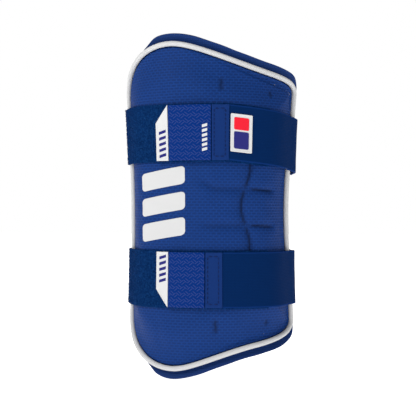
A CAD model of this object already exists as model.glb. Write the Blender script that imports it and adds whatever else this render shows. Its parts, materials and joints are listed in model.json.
"""The looks of a strap-on forearm guard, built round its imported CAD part.

Metres. +Z runs up the forearm to the elbow, -Y is the guard's front. A flat pattern of arcs (round the
forearm) and alongs (up it) is wrapped on an ellipse, as the CAD part's pieces are.
"""

import json
import math
import random

import bpy
import numpy as np
from mathutils import Matrix, Vector


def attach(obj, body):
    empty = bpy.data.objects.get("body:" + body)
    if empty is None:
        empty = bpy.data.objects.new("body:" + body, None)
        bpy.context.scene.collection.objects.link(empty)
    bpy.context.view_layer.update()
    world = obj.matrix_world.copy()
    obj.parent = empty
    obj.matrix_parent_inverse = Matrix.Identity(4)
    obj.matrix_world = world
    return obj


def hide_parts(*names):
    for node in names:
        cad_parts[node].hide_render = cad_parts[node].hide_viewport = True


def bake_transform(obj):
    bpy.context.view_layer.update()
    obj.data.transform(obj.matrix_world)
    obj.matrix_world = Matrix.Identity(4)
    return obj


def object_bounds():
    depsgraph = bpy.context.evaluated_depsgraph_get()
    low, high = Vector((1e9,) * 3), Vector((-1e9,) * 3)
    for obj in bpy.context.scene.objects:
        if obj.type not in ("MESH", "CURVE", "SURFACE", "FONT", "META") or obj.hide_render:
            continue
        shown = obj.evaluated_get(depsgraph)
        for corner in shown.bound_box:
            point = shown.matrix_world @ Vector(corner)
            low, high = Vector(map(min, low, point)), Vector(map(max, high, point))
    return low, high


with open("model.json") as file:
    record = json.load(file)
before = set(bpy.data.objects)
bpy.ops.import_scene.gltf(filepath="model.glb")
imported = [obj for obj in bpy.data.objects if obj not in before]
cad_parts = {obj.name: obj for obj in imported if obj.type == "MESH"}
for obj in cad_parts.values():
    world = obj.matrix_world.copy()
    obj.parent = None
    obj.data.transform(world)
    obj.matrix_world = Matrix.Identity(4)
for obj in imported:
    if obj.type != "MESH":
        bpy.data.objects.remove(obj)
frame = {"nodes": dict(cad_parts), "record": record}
cad_box = [list(corner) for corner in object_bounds()]
NODES = frame["nodes"]
random.seed(11)

# ---------------------------------------------------------------- the CAD part's sizes
GAP = 0.0003
ARM_HALF_WIDTH = 0.0570
ARM_HALF_DEPTH = 0.0430
STRAP_BACK_DEPTH = 0.0400
END_FLARE = 0.088
ELBOW_TAPER = 0.030
HALF_LENGTH = 0.1185
LEFT_ARC = 0.0715
RIGHT_ARC = 0.0730
RIGHT_WAIST = 0.0062
LEFT_SHOULDER = 0.0780
RIGHT_SHOULDER = 0.0840
CREST_ARC = -0.0215
SLOPE_ARC = 0.0350
TOP_SLOPE_HEIGHT = 0.0995
BOTTOM_SLOPE_HEIGHT = 0.1010
CORNER_HANDLE = 0.018
CREST_LEFT_HANDLE = 0.023
CREST_RIGHT_HANDLE = 0.014
SLOPE_LEFT_HANDLE = 0.026
SLOPE_RIGHT_HANDLE = 0.020
SHOULDER_HANDLE = 0.009
RIM_START = 0.030
RIM_END = 0.003
RIM_LEAVE = 0.004
RIGHT_RIM_SHIFT = 0.002
BEND_MARGIN = 0.002
TOP_SLOPE = math.radians(17.0)
BOTTOM_SLOPE = math.radians(11.5)
LINER_THICKNESS = 0.0026
END_FLANGE = 0.0072
LEFT_FLANGE = 0.0020
LEFT_FLANGE_FADE = 12.0
RIGHT_FLANGE = 0.0050
FLANGE_LIFT = 0.0026
PIPING_RADIUS = 0.0019
COVER_THICKNESS = 0.0009
COVER_CROWN = 0.0112
COVER_EDGE_RISE = 0.0050
CROWN_REACH = 0.0280
STRAP_WIDTH = 0.0400
LOOP_WIDTH = 0.0420
LOOP_THICKNESS = 0.0012
LOOP_END_ARC = 0.0420
ELASTIC_THICKNESS = 0.0013
HOOK_THICKNESS = 0.0009
FILM_THICKNESS = 0.0005
TIP_LENGTH = 0.0080
TIP_SLANT = 0.0130
TAPE_LENGTH = 0.0102
UPPER_TAB_HINGE = 0.0159
BEHIND_LOW = 0.0016
LABEL_LENGTH = 0.0128
LABEL_WIDTH = 0.0272
LABEL_THICKNESS = 0.0005
LABEL_SETBACK = 0.0006
LABEL_BORDER = 0.0020
MOTIF_THICKNESS = 0.0003
MOTIF_SPLIT = 0.0095
BAR_LENGTH = 0.0320
BAR_WIDTH = 0.0130
BAR_PITCH = 0.0185
BAR_SLANT = 0.0060
BAR_THICKNESS = 0.0004
BAR_MIDDLE_ARC = -0.0269
BAR_MIDDLE_ALONG = 0.0015

ARC_RADIUS = (ARM_HALF_WIDTH + ARM_HALF_DEPTH) / 2 + COVER_CROWN / 2
FULL_TURN = 2 * math.pi * ARC_RADIUS
BEND_ARC = FULL_TURN / 4
PIPING_HEIGHT = LINER_THICKNESS + 1.5 * GAP + PIPING_RADIUS
COVER_INSET = PIPING_RADIUS + GAP
COVER_SEAM = LINER_THICKNESS + GAP + COVER_THICKNESS
LOOP_LOW = COVER_CROWN + GAP
STRAP_LOW = LOOP_LOW + LOOP_THICKNESS + GAP
FILM_LOW = STRAP_LOW + HOOK_THICKNESS + GAP
TAPE_HIGH = FILM_LOW + FILM_THICKNESS
RIM_LOW = LINER_THICKNESS + 2 * GAP + 2 * PIPING_RADIUS

# each strap: middle along, drop to its bend, tab hinge arc, printed length
STRAPS = {
    "upper": (0.0530, 0.0090, 0.0159, 0.0255),
    "lower": (-0.0530, 0.0, 0.0121, 0.0224),
}

# ---------------------------------------------------------------- the looks' own sizes
OUTLINE_STEPS = 36
COVER_GRID = (150, 240)
LINER_GRID = (110, 180)
GROOVE_DEPTH = 0.0012
GROOVE_HALF_WIDTH = 0.0011
CREASE_HALF_WIDTH = 0.0009  # where the fabric is darker
VALLEY_DEPTH = 0.0012
VALLEY_HALF_WIDTH = 0.0036
VALLEY_SHADE = 0.22
PILLOW = 0.0006  # how far the blocks between the straps stand up
CENTRE_GROOVE_ARC = 0.0240  # the upright groove, nearest the middle
CENTRE_GROOVE_BOW = 0.0058  # and how far it bows away above and below
SELVEDGE = 0.0010
TUFTS = 4200
SKY_LIGHT = 0.36
MESH_PITCH = 2.05  # of the cover's rows of slots, in millimetres
MESH_SLOT_LENGTH = 3.4
WEAVE_PITCH = 4.6  # of the film's tiles, in millimetres
STITCH_PITCH = 0.0032
RAISED_RIM = 0.00022
CAMERA_TURN = math.radians(8.0)
CAMERA_LENS = 86.54
CAMERA_DISTANCE = 0.7736
CAMERA_SHIFT = (0.0037, 0.0012)  # to the left and down
FLOOR_SIZE = 8.0
FLOOR_GAP = 0.0015


# ---------------------------------------------------------------- the forearm's surface
def eased(value, start, end):
    share = np.clip((value - start) / (end - start), 0.0, 1.0)
    return share * share * (3 - 2 * share)


def swell(along):
    share = along / HALF_LENGTH
    return 1.0 + END_FLARE * share * share + ELBOW_TAPER * share


def wrapped(arc, along, height, grown=None):
    """Places of a flat pattern's points: on an ellipse round the forearm, and out along its normal."""
    angle = arc / ARC_RADIUS
    grown = swell(along) if grown is None else grown
    across = ARM_HALF_WIDTH * grown
    depth = np.where(np.cos(angle) > 0, ARM_HALF_DEPTH, STRAP_BACK_DEPTH) * grown
    out_x, out_y = np.sin(angle) * depth, -np.cos(angle) * across
    length = np.hypot(out_x, out_y)
    x = across * np.sin(angle) + out_x / length * height
    y = -depth * np.cos(angle) + out_y / length * height
    return np.stack([x, y, along + 0 * x], axis=-1)


def strap_wrapped(arc, along, height, middle):
    """As wrapped(), but a strap is straight up and down where it turns behind the arm."""
    free = eased(np.abs(arc), RIGHT_ARC, BEND_ARC - BEND_MARGIN)
    return wrapped(arc, along, height, swell(along) * (1 - free) + swell(middle) * free)


def strap_middle(along, drop, arc):
    share = np.clip((arc - UPPER_TAB_HINGE) / (BEND_ARC - UPPER_TAB_HINGE), 0.0, 1.0)
    return along - drop * share


def over_rim(arc, over_pads):
    """Height of a strap's inner face: over the pads, down to the piping, then behind the arm."""
    side = np.where(arc < 0, LEFT_ARC, RIGHT_ARC - RIGHT_RIM_SHIFT)
    reach = np.abs(arc)
    over_edge = over_pads + (RIM_LOW - over_pads) * eased(reach, side - RIM_START, side - RIM_END)
    return over_edge + (BEHIND_LOW - RIM_LOW) * eased(reach, side + RIM_LEAVE, BEND_ARC)


# ---------------------------------------------------------------- the guard's outline
def curved(start, out_of, into, end):
    t = np.arange(OUTLINE_STEPS)[:, None] / OUTLINE_STEPS
    u = 1 - t
    return u**3 * start + 3 * u * u * t * out_of + 3 * u * t * t * into + t**3 * end


def end_outline(slope_height, slope):
    """One end of the piping line, from the left side over the crest to the right side."""
    left, crest = np.array([-LEFT_ARC, LEFT_SHOULDER]), np.array([CREST_ARC, HALF_LENGTH])
    turn, right = np.array([SLOPE_ARC, slope_height]), np.array([RIGHT_ARC, RIGHT_SHOULDER])
    run = np.array([math.cos(slope), -math.sin(slope)])
    up, level = np.array([0.0, 1.0]), np.array([1.0, 0.0])
    return np.concatenate([
        curved(left, left + CORNER_HANDLE * up, crest - CREST_LEFT_HANDLE * level, crest),
        curved(crest, crest + CREST_RIGHT_HANDLE * level, turn - SLOPE_LEFT_HANDLE * run, turn),
        curved(turn, turn + SLOPE_RIGHT_HANDLE * run, right + SHOULDER_HANDLE * up, right),
    ])


def guard_outline():
    """The piping's centre line, clockwise from the left side's upper end."""
    top = end_outline(TOP_SLOPE_HEIGHT, TOP_SLOPE)
    bottom = end_outline(BOTTOM_SLOPE_HEIGHT, BOTTOM_SLOPE) * [1.0, -1.0]
    share = np.linspace(0.0, 1.0, 3 * OUTLINE_STEPS + 1)
    drawn_in = RIGHT_WAIST * (0.5 - 0.5 * np.cos(2 * math.pi * share))
    right = np.stack([RIGHT_ARC - drawn_in, RIGHT_SHOULDER * (1 - 2 * share)], axis=1)
    left = np.stack([-LEFT_ARC + 0 * share, LEFT_SHOULDER * (2 * share - 1)], axis=1)
    return np.concatenate([top, right, bottom[::-1], left[1:-1]])


OUTLINE = guard_outline()


def outline_at(outside, flange_share=0.0):
    run = np.roll(OUTLINE, -1, axis=0) - np.roll(OUTLINE, 1, axis=0)
    run /= np.linalg.norm(run, axis=1)[:, None]
    normals = np.stack([-run[:, 1], run[:, 0]], axis=1)
    side = np.where(normals[:, 0] > 0, RIGHT_FLANGE, LEFT_FLANGE)
    fade = np.where(normals[:, 0] > 0, 1.0, LEFT_FLANGE_FADE)
    flange = side + (END_FLANGE - side) * np.abs(normals[:, 1]) ** fade
    return OUTLINE + normals * (outside + flange_share * flange)[:, None]


def edge_distance(arc, along):
    """How far flat points are inside the piping line. It is negative outside."""
    points = np.stack([arc, along], axis=-1)
    nearest = np.full(len(points), 1.0)
    inside = np.zeros(len(points), bool)
    for start, end in zip(OUTLINE, np.roll(OUTLINE, -1, axis=0)):
        run, gap = end - start, points - start
        share = np.clip(gap @ run / (run @ run), 0.0, 1.0)
        nearest = np.minimum(nearest, np.linalg.norm(gap - share[:, None] * run, axis=1))
        spans = (start[1] > points[:, 1]) != (end[1] > points[:, 1])
        if run[1] != 0.0:
            inside ^= spans & (gap[:, 0] < run[0] * gap[:, 1] / run[1])
    return np.where(inside, nearest, -nearest)


def outline_grid(outline, u, v):
    """Points of a grid that fills a closed outline, cornered where the outline turns by an eighth."""
    picks = [int(np.argmax(outline @ np.array(way))) for way in ((-1, 1), (1, 1), (1, -1), (-1, -1))]

    def side(first, last, share):
        count = (last - first) % len(outline)
        points = outline[(first + np.arange(count + 1)) % len(outline)]
        length = np.r_[0.0, np.cumsum(np.linalg.norm(np.diff(points, axis=0), axis=1))]
        place = share * length[-1]
        return np.stack([np.interp(place, length, points[:, 0]), np.interp(place, length, points[:, 1])], 1)

    top, right = side(picks[0], picks[1], u), side(picks[1], picks[2], 1 - v)
    bottom, left = side(picks[2], picks[3], 1 - u), side(picks[3], picks[0], v)
    u, v = u[:, None], v[:, None]
    upper_left, upper_right, lower_right, lower_left = (outline[i] for i in picks)
    below = (1 - u) * lower_left + u * lower_right
    above = (1 - u) * upper_left + u * upper_right
    corners = (1 - v) * below + v * above
    return (1 - v) * bottom + v * top + (1 - u) * left + u * right - corners


def denser(share, amount=0.45):
    """Shares from 0 to 1, closer together near both ends."""
    return share - amount * np.sin(2 * math.pi * share) / (2 * math.pi)


# ---------------------------------------------------------------- the cover's relief
def dent(distance, half_width):
    return np.exp(-((distance / half_width) ** 2))


def between(value, start, end, fade):
    return eased(value, start - fade, start + fade) * (1 - eased(value, end - fade, end + fade))


def groove_paths(arc, along):
    """Distance to each groove between the raised blocks, its depth there and its crease's sharpness."""
    bowed = CENTRE_GROOVE_ARC + CENTRE_GROOVE_BOW * eased(np.abs(along), 0.0, 0.028)
    upper = 0.0176 - 0.0050 * eased(arc, -0.002, 0.009) - 0.0014 * eased(arc, 0.024, 0.047)
    lower = -0.0140 - 0.0007 * eased(arc, 0.030, 0.047)
    crossing = np.maximum(dent(along - 0.0125, 0.0016), dent(along + 0.0142, 0.0016))
    shown = between(along, -0.060, 0.060, 0.010)
    yield arc - bowed, shown, shown * (1 - 0.9 * crossing)
    past = 0.30 + 0.70 * eased(arc, 0.0295, 0.0320)
    beside = 1 - 0.9 * dent(arc - 0.0275, 0.0030)
    shown = between(arc, 0.000, 0.047, 0.004)
    yield along - upper, shown, past * beside * shown
    yield along - lower, shown, past * beside * shown


def end_marks():
    """Short upright dents near both ends: place, start and end."""
    return (
        (0.0111, 0.0835, 0.0925), (0.0445, 0.0795, 0.0840),
        (0.0078, -0.0915, -0.0822), (0.0427, -0.0865, -0.0830),
    )


def crease(arc, along):
    """From 0 to 1, how deep a point is in a groove, where the fabric is darker."""
    shown = np.zeros_like(arc)
    for distance, deep, sharp in groove_paths(arc, along):
        shown = np.maximum(shown, sharp * dent(distance, CREASE_HALF_WIDTH))
        shown = np.maximum(shown, VALLEY_SHADE * deep * dent(distance, VALLEY_HALF_WIDTH / 2))
    for place, start, end in end_marks():
        shown = np.maximum(shown, 0.8 * dent(arc - place, 0.0011) * between(along, start, end, 0.0015))
    return np.clip(shown, 0.0, 1.0)


def relief(arc, along, inside):
    """What the cover's face adds to its plain crown."""
    made = PILLOW * between(along, -0.030, 0.030, 0.003) * eased(inside, 0.004, 0.012) + 0 * arc
    for distance, shown, sharp in groove_paths(arc, along):
        made -= sharp * GROOVE_DEPTH * dent(distance, GROOVE_HALF_WIDTH)
        made -= shown * VALLEY_DEPTH * dent(distance, VALLEY_HALF_WIDTH)
    for place, start, end in end_marks():
        made -= 0.0009 * dent(arc - place, 0.0011) * between(along, start, end, 0.0015)
        made -= 0.0004 * dent(arc - place + 0.003, 0.004) * between(along, start - 0.003, end + 0.003, 0.003)
    for place, start, end in ((-0.0253, 0.0830, 0.1010), (-0.0294, -0.1020, -0.0830)):
        made -= 0.0006 * dent(arc - place, 0.0034) * between(along, start, end, 0.004)
    border = 0.0028 + 0.0030 * eased(arc, 0.010, 0.062)
    step = 1 - eased(inside, border - 0.0006, border + 0.0006)
    made -= 0.0012 * step * eased(arc, 0.000, 0.030) * eased(np.abs(along), 0.070, 0.080)
    wave = np.sin(arc * 310 + 2.0 * np.sin(along * 95)) * np.sin(along * 240 + 1.3 * np.sin(arc * 120))
    made += 0.00016 * wave * eased(inside, 0.002, 0.010)
    return np.maximum(made, -0.0014) * eased(inside, 0.0005, 0.0020)


def cover_height(arc, along):
    inside = np.maximum(edge_distance(arc, along) - COVER_INSET, 0.0)
    steep = COVER_SEAM + (COVER_EDGE_RISE - COVER_SEAM) * np.sqrt(np.minimum(inside / 0.0030, 1.0))
    plain = steep + (COVER_CROWN - COVER_EDGE_RISE) * eased(inside, 0.0020, CROWN_REACH)
    return plain + relief(arc, along, inside)


# ---------------------------------------------------------------- materials
def colour(code):
    """Linear RGBA of a hex colour."""
    parts = [int(code[i:i + 2], 16) / 255 for i in (1, 3, 5)]
    return [c / 12.92 if c <= 0.04045 else ((c + 0.055) / 1.055) ** 2.4 for c in parts] + [1.0]


class Look:
    """A material and short ways to add nodes to it."""

    def __init__(self, name, code, roughness, sheen=0.0, coat=0.0, shine=0.12):
        self.material = bpy.data.materials.new(name)
        self.material.use_nodes = True
        self.tree = self.material.node_tree
        self.shader = self.tree.nodes["Principled BSDF"]
        self.shader.inputs["Base Color"].default_value = colour(code)
        self.shader.inputs["Roughness"].default_value = roughness
        self.shader.inputs["Sheen Weight"].default_value = sheen
        self.shader.inputs["Sheen Roughness"].default_value = 0.5
        self.shader.inputs["Sheen Tint"].default_value = colour(code)
        self.shader.inputs["Coat Weight"].default_value = coat
        self.shader.inputs["Specular IOR Level"].default_value = shine
        self.shader.inputs["IOR"].default_value = 1.45
        self.height = None

    def add(self, kind, inputs=None, **settings):
        made = self.tree.nodes.new("ShaderNode" + kind)
        for key, value in settings.items():
            setattr(made, key, value)
        for key, value in (inputs or {}).items():
            if isinstance(value, bpy.types.NodeSocket):
                self.tree.links.new(value, made.inputs[key])
            else:
                made.inputs[key].default_value = value
        return made

    def math(self, operation, *values):
        return self.add("Math", dict(enumerate(values)), operation=operation).outputs[0]

    def flat(self):
        """The flat pattern's two places, in millimetres."""
        split = self.add("SeparateXYZ", {0: self.add("UVMap", uv_map="flat").outputs[0]})
        return split.outputs[0], split.outputs[1]

    def ripple(self, place, period):
        """From 0 to 1 and back over each period."""
        wave = self.math("SINE", self.math("MULTIPLY", place, 2 * math.pi / period))
        return self.math("MULTIPLY_ADD", wave, 0.5, 0.5)

    def noise(self, vector, scale, detail=2.0):
        return self.add("TexNoise", {"Vector": vector, "Scale": scale, "Detail": detail}).outputs[0]

    def object_place(self):
        return self.add("TexCoord").outputs["Object"]

    def mix(self, share, first, second):
        made = self.add("Mix", data_type="RGBA")
        for socket, value in ((made.inputs[0], share), (made.inputs[6], first), (made.inputs[7], second)):
            if isinstance(value, bpy.types.NodeSocket):
                self.tree.links.new(value, socket)
            else:
                socket.default_value = colour(value) if isinstance(value, str) else value
        return made.outputs[2]

    def paint(self, socket):
        self.tree.links.new(socket, self.shader.inputs["Base Color"])

    def raise_by(self, height, millimetres):
        """Adds a bump of that many millimetres."""
        made = self.add("Bump", {"Height": height, "Distance": millimetres / 1000, "Strength": 1.0})
        if self.height is not None:
            self.tree.links.new(self.height, made.inputs["Normal"])
        self.height = made.outputs[0]
        self.tree.links.new(self.height, self.shader.inputs["Normal"])


def mesh_fabric_look():
    """Embossed fabric with dark slots in brick-laid rows."""
    look = Look("mesh_fabric", "#1c3d7c", 0.62, sheen=0.05)
    place = look.add("UVMap", uv_map="flat").outputs[0]
    bricks = look.add(
        "TexBrick",
        {
            "Vector": place, "Scale": 1.0, "Mortar Size": 0.66, "Mortar Smooth": 1.0,
            "Brick Width": MESH_SLOT_LENGTH, "Row Height": MESH_PITCH,
        },
        offset=0.5,
    )
    land = bricks.outputs["Fac"]
    uneven = look.noise(place, 0.11)
    light = look.mix(uneven, "#0b3373", "#0f397d")
    woven = look.mix(land, "#092a62", light)
    crease_share = look.add("Attribute", attribute_name="crease").outputs["Fac"]
    look.paint(look.mix(look.math("MULTIPLY", crease_share, 0.9), woven, "#03122f"))
    look.raise_by(land, 0.15)
    look.raise_by(look.noise(place, 3.0), 0.05)
    return look.material


def knit_look(name, code, other, period):
    """A fine knit, with its ribs up and down."""
    look = Look(name, code, 0.72, sheen=0.03)
    arc, along = look.flat()
    ribs = look.math("MULTIPLY", look.ripple(arc, period), look.ripple(along, period * 1.3))
    look.paint(look.mix(ribs, other, code))
    look.raise_by(ribs, 0.12)
    return look.material


def elastic_look():
    """Woven elastic: fine ribs across the strap, and smooth lighter selvedges."""
    look = Look("woven_elastic", "#082556", 0.7, shine=0.03)
    arc, along = look.flat()
    share = look.add("SeparateXYZ", {0: look.add("UVMap", uv_map="share").outputs[0]}).outputs[1]
    from_edge = look.math("SUBTRACT", 0.5, look.math("ABSOLUTE", look.math("SUBTRACT", share, 0.5)))
    edge = look.math("LESS_THAN", from_edge, SELVEDGE / STRAP_WIDTH)
    weave = look.math("MULTIPLY", look.ripple(arc, 0.8), look.ripple(along, 1.1))
    body = look.mix(weave, "#02204c", "#042656")
    look.paint(look.mix(edge, body, "#082a62"))
    look.raise_by(weave, 0.10)
    return look.material


def loop_look():
    """Brushed loops: dark, with pale flecks."""
    look = Look("loop_pile", "#0a2a5a", 0.95, shine=0.03)
    place = look.object_place()
    fleck = look.noise(place, 900.0, 3.0)
    clump = look.noise(place, 220.0, 2.0)
    shown = look.math("MULTIPLY", look.math("SUBTRACT", fleck, 0.40), 3.2)
    dark = look.mix(clump, "#00183f", "#042758")
    look.paint(look.mix(look.math("MINIMUM", look.math("MAXIMUM", shown, 0.0), 1.0), dark, "#10386a"))
    look.raise_by(fleck, 0.8)
    return look.material


def tuft_look():
    return Look("loop_fibre", "#0a2f62", 0.9, shine=0.03).material


def tape_look():
    """A woven tape with a fine twill."""
    look = Look("woven_tape", "#163575", 0.65)
    arc, along = look.flat()
    twill = look.ripple(look.math("ADD", arc, along), 0.9)
    look.paint(look.mix(twill, "#04265f", "#0a2f6c"))
    look.raise_by(twill, 0.06)
    return look.material


def film_look():
    """Glossy film printed with a basket weave of short slanting bars."""
    look = Look("printed_film", "#0a2f80", 0.5, shine=0.06)
    arc, along = look.flat()
    first = look.math("DIVIDE", look.math("ADD", arc, along), WEAVE_PITCH)
    second = look.math("DIVIDE", look.math("SUBTRACT", arc, along), WEAVE_PITCH)
    tiles = look.math("ADD", look.math("FLOOR", first), look.math("FLOOR", second))
    odd = look.math("FLOORED_MODULO", tiles, 2.0)

    def bars(across, past):
        """Two bars in a tile, stopped short of the tile's ends."""
        lines = look.math("LESS_THAN", look.math("FRACT", look.math("MULTIPLY", across, 2.0)), 0.34)
        end = look.math("ABSOLUTE", look.math("SUBTRACT", look.math("FRACT", past), 0.5))
        return look.math("MULTIPLY", lines, look.math("LESS_THAN", end, 0.40))

    one, two = bars(first, second), bars(second, first)
    even = look.math("SUBTRACT", 1.0, odd)
    shown = look.math("ADD", look.math("MULTIPLY", one, odd), look.math("MULTIPLY", two, even))
    look.paint(look.mix(shown, "#00286c", "#283b78"))
    look.raise_by(shown, 0.02)
    return look.material


def piping_look():
    """Bias tape: a plain weave that runs aslant round the cord."""
    look = Look("bias_tape", "#e9e9e9", 0.7)
    arc, along = look.flat()
    one = look.ripple(look.math("ADD", arc, along), 1.05)
    two = look.ripple(look.math("SUBTRACT", arc, along), 1.05)
    weave = look.math("MULTIPLY", one, two)
    look.paint(look.mix(weave, "#c0c0c0", "#d4d4d4"))
    look.raise_by(weave, 0.10)
    return look.material


def rubber_look(name, code, roughness=0.45, grain=0.03):
    look = Look(name, code, roughness, shine=0.25)
    look.raise_by(look.noise(look.object_place(), 1400.0), grain)
    return look.material


def foam_look(name, code, cell):
    """Closed-cell foam."""
    look = Look(name, code, 0.9)
    cells = look.add(
        "TexVoronoi", {"Vector": look.object_place(), "Scale": 1000.0 / cell}
    ).outputs["Distance"]
    look.raise_by(cells, 0.2)
    return look.material


def hook_look():
    """A field of small moulded hooks."""
    look = Look("hook_plastic", "#0b2450", 0.5)
    cells = look.add(
        "TexVoronoi", {"Vector": look.object_place(), "Scale": 900.0, "Randomness": 0.25}
    ).outputs["Distance"]
    look.paint(look.mix(cells, "#16366e", "#061a3c"))
    look.raise_by(look.math("SUBTRACT", 1.0, cells), 0.5)
    return look.material


LOOKS = {
    "mesh_fabric": mesh_fabric_look(),
    "liner_fabric": knit_look("liner_fabric", "#16346e", "#102a5c", 1.2),
    "foam": foam_look("foam", "#9a9a9c", 1.2),
    "plate": rubber_look("plate", "#3a3a3e", 0.4),
    "impact_foam": foam_look("impact_foam", "#d8c26a", 0.9),
    "bias_tape": piping_look(),
    "emblem_print": rubber_look("emblem_print", "#c6c6c6", 0.5),
    "loop_pile": loop_look(),
    "woven_elastic": elastic_look(),
    "woven_tape": tape_look(),
    "printed_film": film_look(),
    "hook_plastic": hook_look(),
    "white_rubber": rubber_look("white_rubber", "#cccccc"),
    "red_rubber": rubber_look("red_rubber", "#e00c28"),
    "navy_rubber": rubber_look("navy_rubber", "#1a1c6b"),
}
TUFT = tuft_look()
THREAD = Look("thread", "#0a1c48", 0.6).material


# ---------------------------------------------------------------- pieces
def clear_choice():
    bpy.ops.object.select_all(action="DESELECT")


def applied(made, kind, **settings):
    changed = made.modifiers.new(kind.lower(), kind)
    for key, value in settings.items():
        setattr(changed, key, value)
    bpy.context.view_layer.objects.active = made
    bpy.ops.object.modifier_apply(modifier=changed.name)


def dressed(made, slot, body=None, look=None):
    """Gives a finished piece its material, its slot and the body that it rides on."""
    made.data.materials.clear()
    made.data.materials.append(look or LOOKS[slot])
    made.data.shade_smooth()
    made.data.set_sharp_from_angle(angle=math.radians(50.0))
    if body:
        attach(made, body)
    return made


def grid_piece(name, columns, rows, place, thickness=0.0, bevel=0.0, segments=2):
    """A sheet over shares (u, v) from 0 to 1. place gives its flat points and its points in space."""
    clear_choice()
    bpy.ops.mesh.primitive_grid_add(x_subdivisions=columns, y_subdivisions=rows, size=1.0)
    made = bpy.context.active_object
    made.name = made.data.name = name
    mesh = made.data
    corners = np.empty(len(mesh.vertices) * 3)
    mesh.vertices.foreach_get("co", corners)
    u, v = corners.reshape(-1, 3)[:, 0] + 0.5, corners.reshape(-1, 3)[:, 1] + 0.5
    flat, spots = place(u, v)
    mesh.vertices.foreach_set("co", np.ascontiguousarray(spots, np.float64).ravel())
    mesh.uv_layers[0].name = "share"
    layer = mesh.uv_layers.new(name="flat")
    loops = np.empty(len(mesh.loops), np.int32)
    mesh.loops.foreach_get("vertex_index", loops)
    layer.data.foreach_set("uv", (flat[loops] * 1000).ravel())
    mesh.update()
    if thickness:
        applied(made, "SOLIDIFY", thickness=thickness, offset=-1.0)
    if bevel:
        limit = math.radians(55.0)
        applied(made, "BEVEL", width=bevel, segments=segments, limit_method="ANGLE", angle_limit=limit)
    return made


def flat_points(arc, along):
    return np.stack([arc + 0 * along, along + 0 * arc], axis=1)


def traced(name, rows, radius, closed=False, resolution=1):
    """Round threads along rows of points in space, as one mesh."""
    line = bpy.data.curves.new(name, "CURVE")
    line.dimensions = "3D"
    line.bevel_depth = radius
    line.bevel_resolution = resolution
    line.use_fill_caps = True
    for points in rows:
        spline = line.splines.new("POLY")
        spline.points.add(len(points) - 1)
        spline.use_cyclic_u = closed
        for target, point in zip(spline.points, points):
            target.co = (*point, 1.0)
    made = bpy.data.objects.new(name, line)
    bpy.context.collection.objects.link(made)
    clear_choice()
    made.select_set(True)
    bpy.context.view_layer.objects.active = made
    bpy.ops.object.convert(target="MESH")
    return bpy.context.active_object


def stitches(name, corners, pitch, lay, body):
    """Stitches along a path of flat corners. lay turns flat points and a lift into points in space."""
    rows = []
    for start, end in zip(corners, corners[1:]):
        start, end = np.array(start), np.array(end)
        count = max(1, round(np.linalg.norm(end - start) / pitch))
        for i in range(count):
            shares = (i + np.array([0.18, 0.34, 0.5, 0.66, 0.82])) / count
            points = start + (end - start) * shares[:, None]
            lift = 0.00022 * np.array([-1.0, 0.7, 1.0, 0.7, -1.0])
            rows.append(lay(points[:, 0], points[:, 1], lift))
    made = traced(name, rows, 0.00026)
    return dressed(made, "woven_tape", body, THREAD)


# ---------------------------------------------------------------- the guard's body
def build_cover():
    border = outline_at(-COVER_INSET)

    def place(u, v):
        flat = outline_grid(border, denser(u), denser(v))
        arc, along = flat[:, 0], flat[:, 1]
        return flat, wrapped(arc, along, cover_height(arc, along))

    made = grid_piece("cover_fabric", *COVER_GRID, place, thickness=COVER_THICKNESS)
    shade = made.data.attributes.new("crease", "FLOAT", "POINT")
    spots = np.empty(2 * len(made.data.loops))
    made.data.uv_layers["flat"].data.foreach_get("uv", spots)
    owners = np.empty(len(made.data.loops), np.int32)
    made.data.loops.foreach_get("vertex_index", owners)
    flat = np.zeros((len(made.data.vertices), 2))
    flat[owners] = spots.reshape(-1, 2) / 1000
    shade.data.foreach_set("value", crease(flat[:, 0], flat[:, 1]))
    dressed(made, "mesh_fabric", "guard")
    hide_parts("front_cover")


def build_liner():
    border = outline_at(0.0, 1.0)

    def place(u, v):
        flat = outline_grid(border, denser(u), denser(v))
        arc, along = flat[:, 0], flat[:, 1]
        outside = np.maximum(-edge_distance(arc, along), 0.0)
        lift = FLANGE_LIFT * eased(outside, COVER_INSET, END_FLANGE)
        wave = 0.00035 * np.sin(arc * 210) * np.sin(along * 330 + 1.0)
        lift = lift + wave * eased(outside, 0.002, 0.006)
        return flat, wrapped(arc, along, LINER_THICKNESS + lift)

    made = grid_piece(
        "liner_padding", *LINER_GRID, place, thickness=LINER_THICKNESS, bevel=0.0009, segments=3
    )
    dressed(made, "liner_fabric", "guard")
    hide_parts("comfort_liner")


def build_piping():
    """A round cord in bias tape, all the way round the outline."""
    ring = np.vstack([OUTLINE, OUTLINE[:1]])
    length = np.r_[0.0, np.cumsum(np.linalg.norm(np.diff(ring, axis=0), axis=1))]

    def middle(share):
        place = (share % 1.0) * length[-1]
        arc, along = np.interp(place, length, ring[:, 0]), np.interp(place, length, ring[:, 1])
        return wrapped(arc, along, PIPING_HEIGHT), wrapped(arc, along, PIPING_HEIGHT + 0.001)

    def place(u, v):
        centre, above = middle(u)
        ahead = middle(u + 0.0015)[0] - middle(u - 0.0015)[0]
        ahead /= np.linalg.norm(ahead, axis=1)[:, None]
        up = above - centre
        up /= np.linalg.norm(up, axis=1)[:, None]
        side = np.cross(ahead, up)
        turn = 2 * math.pi * v
        spots = centre + PIPING_RADIUS * (np.cos(turn)[:, None] * up + np.sin(turn)[:, None] * side)
        return flat_points(u * length[-1], v * 2 * math.pi * PIPING_RADIUS), spots

    made = grid_piece("piping_cord", 620, 14, place)
    applied(made, "WELD", merge_threshold=0.00001)
    clear_choice()
    made.select_set(True)
    bpy.context.view_layer.objects.active = made
    bpy.ops.object.mode_set(mode="EDIT")
    bpy.ops.mesh.select_all(action="SELECT")
    bpy.ops.mesh.normals_make_consistent(inside=False)
    bpy.ops.object.mode_set(mode="OBJECT")
    dressed(made, "bias_tape", "guard")
    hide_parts("edge_piping")


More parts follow.
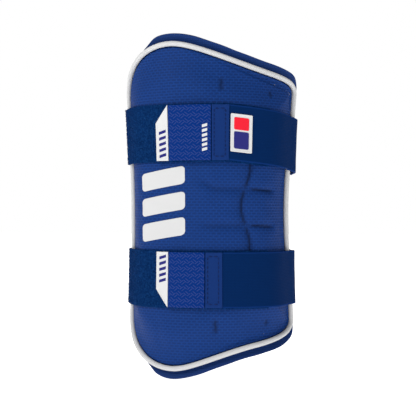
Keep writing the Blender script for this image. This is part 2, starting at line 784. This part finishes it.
def rounded(share, length, width, radius):
    """Half width of a bar at a share of its length, with its corners rounded off."""
    near = np.minimum(share, 1 - share) * length
    cut = np.clip(1 - near / radius, 0.0, 1.0)
    return width / 2 - radius * (1 - np.sqrt(1 - cut * cut))


def build_emblem():
    """Three plain slanting bars printed on the cover."""
    for step, name in ((1, "upper"), (0, "middle"), (-1, "lower")):
        middle = BAR_MIDDLE_ALONG + step * BAR_PITCH

        def place(u, v):
            u = denser(u, 0.9)
            arc = BAR_MIDDLE_ARC + (u - 0.5) * BAR_LENGTH
            half = rounded(u, BAR_LENGTH, BAR_WIDTH, 0.0028)
            along = middle + (arc - BAR_MIDDLE_ARC) * BAR_SLANT / BAR_LENGTH + (2 * v - 1) * half
            return flat_points(arc, along), wrapped(arc, along, cover_height(arc, along) + BAR_THICKNESS)

        made = grid_piece(f"bar_{name}", 44, 16, place, thickness=BAR_THICKNESS, bevel=0.00015)
        dressed(made, "emblem_print", "guard")
        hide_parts(f"emblem_bar_{name}")


# ---------------------------------------------------------------- straps
def band_piece(name, side, arcs, width, high, thickness, rows, columns, bevel=0.0004, edge=None):
    """A strip on a strap's centre line. high gives its outer face's height at an arc."""
    along, drop = STRAPS[side][:2]

    def place(u, v):
        arc = arcs[0] + (arcs[1] - arcs[0]) * u
        middle = strap_middle(along, drop, arc)
        up = middle + (v - 0.5) * width
        if edge is not None:
            up = edge(arc, middle, v)
        return flat_points(arc, up), strap_wrapped(arc, up, high(arc, v), middle)

    return grid_piece(name, columns, rows, place, thickness=thickness, bevel=bevel)


def tuft_rows(side, count):
    """Small arches of fibre that stand on the loop strip."""
    along, drop = STRAPS[side][:2]
    rows = []
    for _ in range(count):
        arc = random.uniform(-BEND_ARC + 0.001, LOOP_END_ARC - 0.001)
        middle = float(strap_middle(along, drop, arc))
        up = middle + random.uniform(-0.5, 0.5) * (LOOP_WIDTH - 0.0004)
        way, span = random.uniform(0, 2 * math.pi), random.uniform(0.0003, 0.0010)
        tall = random.uniform(0.0000, 0.00038)
        arcs = arc + span * math.cos(way) * np.array([-1.0, -0.3, 0.5, 1.0])
        ups = up + span * math.sin(way) * np.array([-1.0, -0.3, 0.5, 1.0])
        high = over_rim(arcs, LOOP_LOW) + LOOP_THICKNESS - 0.0001 + tall * np.array([-0.5, 0.9, 1.0, -0.5])
        rows.append(strap_wrapped(arcs, ups, high, middle))
    return rows


def build_loop_strip(side):
    def high(arc, v):
        fuzz = 0.00010 * np.sin(arc * 2300 + 31 * v) * np.sin(arc * 900 - 47 * v + 2.0)
        return over_rim(arc, LOOP_LOW) + LOOP_THICKNESS - 0.0002 + fuzz

    arcs = (-BEND_ARC + GAP / 2, LOOP_END_ARC)
    made = band_piece(f"{side}_loop_pile", side, arcs, LOOP_WIDTH, high, LOOP_THICKNESS - 0.0002, 60, 180)
    dressed(made, "loop_pile", "guard")
    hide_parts(f"{side}_loop_strip")
    tufts = traced(f"{side}_loop_tufts", tuft_rows(side, TUFTS), 0.00006, resolution=0)
    dressed(tufts, "loop_pile", "guard", TUFT)


def build_elastic(side):
    along, drop, hinge_arc = STRAPS[side][:3]

    def high(arc, v):
        ripple = 0.00008 * np.sin(arc * 380 + 5 * v) * np.sin(v * 9 + arc * 60)
        return over_rim(arc, STRAP_LOW) + ELASTIC_THICKNESS + ripple

    arcs = (hinge_arc + GAP / 2, BEND_ARC - GAP / 2)
    front = band_piece(f"{side}_elastic_web", side, arcs, STRAP_WIDTH, high, ELASTIC_THICKNESS, 40, 110)
    dressed(front, "woven_elastic")
    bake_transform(front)
    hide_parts(f"{side}_elastic_front")

    start, end = along - drop, along

    def place(u, v):
        arc = BEND_ARC + GAP / 2 + (FULL_TURN - 2 * BEND_ARC - GAP) * u
        middle = start + (end - start) * u
        up = middle + (v - 0.5) * STRAP_WIDTH
        high = BEHIND_LOW + ELASTIC_THICKNESS + 0.00008 * np.sin(arc * 350 + 4 * v)
        return flat_points(arc, up), wrapped(arc, up, high, swell(middle))

    back = grid_piece(f"{side}_elastic_rear", 160, 40, place, thickness=ELASTIC_THICKNESS, bevel=0.0004)
    dressed(back, "woven_elastic")
    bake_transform(back)
    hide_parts(f"{side}_elastic_back")


def wrapped_point(arc, along):
    return wrapped(np.array(arc), np.array(along), STRAP_LOW)


def tab_arcs(side):
    """Where the tab's parts start and end, from its hinge to its tip."""
    hinge_arc, printed = STRAPS[side][2:]
    tape_end = hinge_arc - GAP / 2
    tape_start = tape_end - TAPE_LENGTH
    film_end = tape_start - GAP
    film_start = film_end - printed
    tip_end = film_start - GAP
    return tape_start, tape_end, film_start, film_end, tip_end - TIP_LENGTH, tip_end


def build_tab(side):
    along = STRAPS[side][0]
    tape_start, tape_end, film_start, film_end, tip_start, tip_end = tab_arcs(side)
    body = f"{side}_tab"
    sign = 1 if along > 0 else -1

    def tape_high(arc, v):
        fold = 0.00022 * (eased(arc, tape_end - 0.0026, tape_end - 0.0020) - 1)
        edge = 0.00020 * (eased(arc, tape_start, tape_start + 0.0006) - 1)
        return TAPE_HIGH + fold + edge

    tape = band_piece(
        f"{side}_tape", side, (tape_start, tape_end), STRAP_WIDTH, tape_high,
        TAPE_HIGH - STRAP_LOW, 40, 24,
    )
    dressed(tape, "woven_tape", body)
    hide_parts(f"{side}_sewn_tape")

    def on_tape(arc, up, lift):
        return wrapped(arc, up, tape_high(arc, 0.5) + lift)

    web = band_piece(
        f"{side}_hinge_web", side, (tape_end - 0.0030, tape_end + 0.0030), STRAP_WIDTH - 0.0008,
        lambda arc, v: STRAP_LOW + 0.0011 + 0 * arc, 0.0008, 20, 16, bevel=0.0,
    )
    dressed(web, "woven_elastic")
    wrapped_point(tape_end + 0.0006, along)
    wrapped_point(tape_end - 0.0002, along)
    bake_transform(web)

    box = (tape_start + 0.0016, tape_end - 0.0022, along - 0.0172, along + 0.0170)
    corners = [(box[0], box[2]), (box[1], box[2]), (box[1], box[3]), (box[0], box[3]), (box[0], box[2])]
    stitches(f"{side}_box_stitch", corners, STITCH_PITCH, on_tape, body)

    film = band_piece(
        f"{side}_film", side, (film_start, film_end), STRAP_WIDTH,
        lambda arc, v: TAPE_HIGH + 0 * arc, FILM_THICKNESS, 40, 40, bevel=0.00015,
    )
    dressed(film, "printed_film", body)
    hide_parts(f"{side}_tab_film")

    def slanted(arc, middle, v):
        """The tip's end is cut back on the side nearest the guard's end."""
        near = middle - sign * STRAP_WIDTH / 2
        cut = TIP_SLANT * np.clip((tip_end - arc) / TIP_LENGTH, 0.0, 1.0)
        far = middle + sign * (STRAP_WIDTH / 2 - cut)
        low, top = (near, far) if sign > 0 else (far, near)
        return low + (top - low) * v

    def tip_high(arc, v):
        """A raised rim round a shallow panel."""
        from_side = np.minimum(arc - tip_start, tip_end - arc)
        from_edge = np.minimum(v, 1 - v) * (STRAP_WIDTH - TIP_SLANT)
        rim = 1 - eased(np.minimum(from_side, from_edge), 0.0009, 0.0013)
        return TAPE_HIGH - RAISED_RIM * (1 - rim)

    tip = band_piece(
        f"{side}_tip", side, (tip_start, tip_end), STRAP_WIDTH, tip_high,
        TAPE_HIGH - STRAP_LOW, 90, 30, bevel=0.00015, edge=slanted,
    )
    dressed(tip, "white_rubber", body)
    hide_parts(f"{side}_tab_tip")
    slant_bars(
        f"{side}_tip_bars", body, (tip_start + tip_end) / 2 + 0.0003, along - sign * 0.0078,
        5, 0.0042, 0.0046, 0.0021, "navy_rubber", TAPE_HIGH - 0.0001,
    )
    if side == "upper":
        slant_bars(
            "film_bars", body, film_end - 0.0036, along - 0.0035,
            6, 0.0034, 0.0030, 0.0020, "white_rubber", TAPE_HIGH + 0.00008,
        )


def slant_bars(name, body, arc_middle, along_middle, count, pitch, length, width, slot, high):
    """A row of short parallel slanting bars up the strap, as one print."""
    made = []
    for i in range(count):
        middle = along_middle + (i - (count - 1) / 2) * pitch

        def place(u, v):
            arc = arc_middle + (u - 0.5) * length
            along = middle + 0.35 * (arc - arc_middle) + (v - 0.5) * width
            return flat_points(arc, along), wrapped(arc, along, high + 0 * arc)

        made.append(grid_piece(f"{name}_{i}", 4, 2, place, thickness=0.0001))
    clear_choice()
    for piece in made:
        piece.select_set(True)
    bpy.context.view_layer.objects.active = made[0]
    bpy.ops.object.join()
    made[0].name = made[0].data.name = name
    dressed(made[0], slot, body)


def build_label():
    """A sewn rubber label on the upper strap: a raised rim round two plain fields."""
    start = UPPER_TAB_HINGE + LABEL_SETBACK
    middle_arc = start + LABEL_LENGTH / 2
    along, drop = STRAPS["upper"][:2]
    centre = float(strap_middle(along, drop, middle_arc))
    lean = drop / (BEND_ARC - UPPER_TAB_HINGE)
    base = STRAP_LOW + ELASTIC_THICKNESS + GAP

    def patch(name, arcs, alongs, high, thickness, radius, slot, replaced):
        def place(u, v):
            u = denser(u, 0.9)
            v = denser(v, 0.9)
            arc = arcs[0] + (arcs[1] - arcs[0]) * u
            half = rounded(u, arcs[1] - arcs[0], alongs[1] - alongs[0], radius)
            up = centre + (alongs[0] + alongs[1]) / 2 - lean * (arc - middle_arc) + (2 * v - 1) * half
            low = over_rim(arc, STRAP_LOW) - STRAP_LOW
            return flat_points(arc, up), wrapped(arc, up, low + high(u, v))

        made = grid_piece(name, 36, 60, place, thickness=thickness, bevel=0.00012)
        dressed(made, slot, "upper_front_run")
        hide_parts(replaced)

    def base_high(u, v):
        from_side = np.minimum(u, 1 - u) * LABEL_LENGTH
        from_edge = np.minimum(v, 1 - v) * LABEL_WIDTH
        rim = 1 - eased(np.minimum(from_side, from_edge), 0.0008, 0.0012)
        return base + LABEL_THICKNESS + RAISED_RIM * rim

    half = LABEL_WIDTH / 2
    arcs = (start, start + LABEL_LENGTH)
    patch(
        "label_plate", arcs, (-half, half), base_high, LABEL_THICKNESS, 0.0008,
        "white_rubber", "label_base",
    )
    inner = (arcs[0] + LABEL_BORDER, arcs[1] - LABEL_BORDER)
    top = half - LABEL_BORDER - 0.0004
    split = top - MOTIF_SPLIT

    def field_high(u, v):
        return base + LABEL_THICKNESS + MOTIF_THICKNESS / 2 + 0 * u

    patch(
        "label_red", inner, (split + 0.0006, top), field_high, 0.0002, 0.0010,
        "red_rubber", "label_upper_field",
    )
    patch(
        "label_navy", inner, (-top, split - 0.0006), field_high, 0.0002, 0.0010,
        "navy_rubber", "label_lower_field",
    )


# ---------------------------------------------------------------- CAD pieces that stay as they are
def dress_cad_nodes():
    for part in frame["record"]["subparts"]:
        made = NODES[part["node"]]
        if made.hide_render:
            continue
        made.data.materials.clear()
        made.data.materials.append(LOOKS[part["material_slot"]])


# ---------------------------------------------------------------- stage
def build_stage():
    lowered = Matrix.Translation((0.0, 0.0, cad_box[0][2] - FLOOR_GAP))
    clear_choice()
    bpy.ops.mesh.primitive_plane_add(size=1.0)
    floor = bpy.context.active_object
    floor.name = "floor"
    floor.data.transform(lowered @ Matrix.Diagonal((FLOOR_SIZE, FLOOR_SIZE, 1.0, 1.0)))
    pale = Look("pale_paper", "#ffffff", 0.9)
    pale.shader.inputs["Emission Color"].default_value = (1, 1, 1, 1)
    pale.shader.inputs["Emission Strength"].default_value = 1.0
    floor.data.materials.append(pale.material)


def area_light(name, place, size, power, tint=(1.0, 1.0, 1.0)):
    light = bpy.data.lights.new(name, "AREA")
    light.shape = "RECTANGLE"
    light.size, light.size_y = size
    light.energy = power
    light.color = tint
    made = bpy.data.objects.new(name, light)
    bpy.context.collection.objects.link(made)
    made.location = place
    made.rotation_euler = (-Vector(place)).to_track_quat("-Z", "Y").to_euler()


def build_lights():
    world = bpy.data.worlds.new("world")
    world.use_nodes = True
    tree = world.node_tree
    sky = tree.nodes["Background"]
    seen = tree.nodes.new("ShaderNodeMath")
    seen.operation = "MULTIPLY_ADD"
    tree.links.new(tree.nodes.new("ShaderNodeLightPath").outputs["Is Camera Ray"], seen.inputs[0])
    seen.inputs[1].default_value = 1.0 - SKY_LIGHT
    seen.inputs[2].default_value = SKY_LIGHT
    tree.links.new(seen.outputs[0], sky.inputs["Strength"])
    sky.inputs["Color"].default_value = (1.0, 1.0, 1.0, 1.0)
    bpy.context.scene.world = world
    area_light("key", (-0.80, -0.85, 1.00), (0.45, 0.45), 11.0)
    area_light("fill", (0.95, -1.0, 0.35), (0.8, 1.0), 2.0)
    area_light("top", (0.0, 0.35, 1.3), (1.0, 0.8), 3.0)


def build_camera():
    back = Vector((math.sin(CAMERA_TURN), -math.cos(CAMERA_TURN), 0.0))
    right = Vector((math.cos(CAMERA_TURN), math.sin(CAMERA_TURN), 0.0))
    aside, down = CAMERA_SHIFT
    lens = bpy.data.cameras.new("camera")
    lens.sensor_width = 36.0
    lens.lens = CAMERA_LENS
    camera = bpy.data.objects.new("camera", lens)
    bpy.context.collection.objects.link(camera)
    camera.location = back * CAMERA_DISTANCE - right * aside - Vector((0.0, 0.0, down))
    camera.rotation_euler = (-back).to_track_quat("-Z", "Y").to_euler()
    bpy.context.scene.camera = camera
    bpy.context.scene.view_settings.view_transform = "Standard"


build_cover()
build_liner()
build_piping()
build_emblem()
for strap in STRAPS:
    build_loop_strip(strap)
    build_elastic(strap)
    build_tab(strap)
build_label()
dress_cad_nodes()
build_stage()
build_lights()
build_camera()
